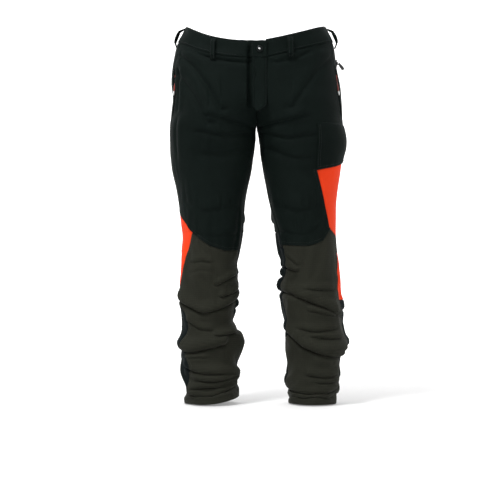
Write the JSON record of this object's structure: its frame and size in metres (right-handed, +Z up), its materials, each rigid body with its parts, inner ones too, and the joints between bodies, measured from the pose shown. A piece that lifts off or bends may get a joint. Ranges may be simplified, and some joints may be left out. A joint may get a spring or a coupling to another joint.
{
  "type": "chainsaw trousers",
  "caption": "Full-length protective work trousers in black, olive and orange fabric with a zipped fly, belt loops, zipped pockets and saw-protection pads in the legs, standing as worn.",
  "frame": {"origin": "middle of the waist opening, level with the top of the waistband at the sides", "axes": "+Z up along the legs, -Y out of the front, +X towards the wearer's left"},
  "size_m": [0.4281, 0.2805, 0.9203],
  "materials": {
    "black_softshell": "matte woven softshell with a faint green cast",
    "olive_ripstop": "matte ripstop weave",
    "orange_softshell": "bright matte knit",
    "grey_lining": "fine mesh lining",
    "pad_fibre": "loose stack of protective fibre layers",
    "black_plastic": "moulded coil and puller",
    "zip_metal": "bright zip metal",
    "red_tape": "woven pull tape"
  },
  "bodies": {
    "garment": {"back_leg_left": "black_softshell", "back_leg_right": "black_softshell", "belt_loop_back_centre": "black_softshell", "belt_loop_back_left": "black_softshell", "belt_loop_back_right": "black_softshell", "belt_loop_front_left": "black_softshell", "belt_loop_front_right": "black_softshell", "belt_loop_side_left": "black_softshell", "belt_loop_side_right": "black_softshell", "fly_shield": "black_softshell", "fly_zip_right": "black_plastic", "fly_zip_stop": "zip_metal", "front_left": "black_softshell", "front_right": "black_softshell", "hem_left": "olive_ripstop", "hem_right": "olive_ripstop", "hip_pocket_bag_left": "grey_lining", "hip_pocket_bag_right": "grey_lining", "hip_zip_left": "black_plastic", "hip_zip_right": "black_plastic", "knee_left": "olive_ripstop", "knee_right": "olive_ripstop", "lining_left": "grey_lining", "lining_right": "grey_lining", "rear_pocket_bag": "grey_lining", "rear_zip_lower": "black_plastic", "rear_zip_upper": "black_plastic", "saw_pad_left": "pad_fibre", "saw_pad_right": "pad_fibre", "seat_left": "black_softshell", "seat_right": "black_softshell", "side_calf_left": "black_softshell", "side_calf_right": "black_softshell", "side_left": "orange_softshell", "side_right": "orange_softshell", "snap_post": "zip_metal", "snap_stud": "zip_metal", "thigh_pocket_left": "black_softshell", "waistband_back": "black_softshell", "waistband_elastic": "black_softshell", "waistband_facing_left": "grey_lining", "waistband_facing_right": "grey_lining", "waistband_left": "black_softshell", "waistband_right": "black_softshell"},
    "fly_cover": {"fly_flap": "black_softshell", "waistband_tab": "black_softshell", "snap_cap": "zip_metal", "snap_socket": "zip_metal", "fly_zip_left": "black_plastic"},
    "fly_zip_runner": {"fly_slider": "zip_metal", "fly_pull": "zip_metal"},
    "hip_zip_runner_left": {"hip_left_slider": "zip_metal"},
    "hip_pull_left": {"hip_pull_left_tape": "red_tape", "hip_pull_left_tip": "zip_metal"},
    "hip_zip_runner_right": {"hip_right_slider": "zip_metal"},
    "hip_pull_right": {"hip_pull_right_tape": "red_tape", "hip_pull_right_tip": "zip_metal"},
    "rear_zip_runner": {"rear_slider": "black_plastic"},
    "rear_puller": {"rear_pull": "black_plastic"}
  },
  "joints": [
    {"name": "fly_cover_hinge", "type": "hinge", "parent": "garment", "child": "fly_cover", "pos_m": [0.024, -0.1222, -0.05], "axis": [0, -0.0499, 0.9988], "range_deg": [0, 70]},
    {"name": "fly_zip_slide", "type": "slide", "parent": "fly_cover", "child": "fly_zip_runner", "axis": [0, 0.0499, -0.9988], "range_m": [0, 0.094]},
    {"name": "hip_zip_left_slide", "type": "slide", "parent": "garment", "child": "hip_zip_runner_left", "axis": [0.1379, 0.0264, -0.9901], "range_m": [0, 0.062]},
    {"name": "hip_pull_left_hinge", "type": "hinge", "parent": "hip_zip_runner_left", "child": "hip_pull_left", "pos_m": [0.19354, -0.03912, -0.12208], "axis": [-0.2987, -0.952, -0.067], "range_deg": [0, 150]},
    {"name": "hip_zip_right_slide", "type": "slide", "parent": "garment", "child": "hip_zip_runner_right", "axis": [-0.0899, 0.0252, -0.9956], "range_m": [0, 0.062]},
    {"name": "hip_pull_right_hinge", "type": "hinge", "parent": "hip_zip_runner_right", "child": "hip_pull_right", "pos_m": [-0.19676, -0.03901, -0.12227], "axis": [-0.3059, 0.9507, 0.0517], "range_deg": [0, 150]},
    {"name": "rear_zip_slide", "type": "hinge", "parent": "garment", "child": "rear_zip_runner", "pos_m": [0.09126, 0.01118, -0.084], "axis": [0, 0, 1], "range_deg": [0, 43]},
    {"name": "rear_pull_hinge", "type": "hinge", "parent": "rear_zip_runner", "child": "rear_puller", "pos_m": [0.20392, 0.03081, -0.084], "axis": [0.1716, -0.9852, 0], "range_deg": [-30, 100]}
  ]
}
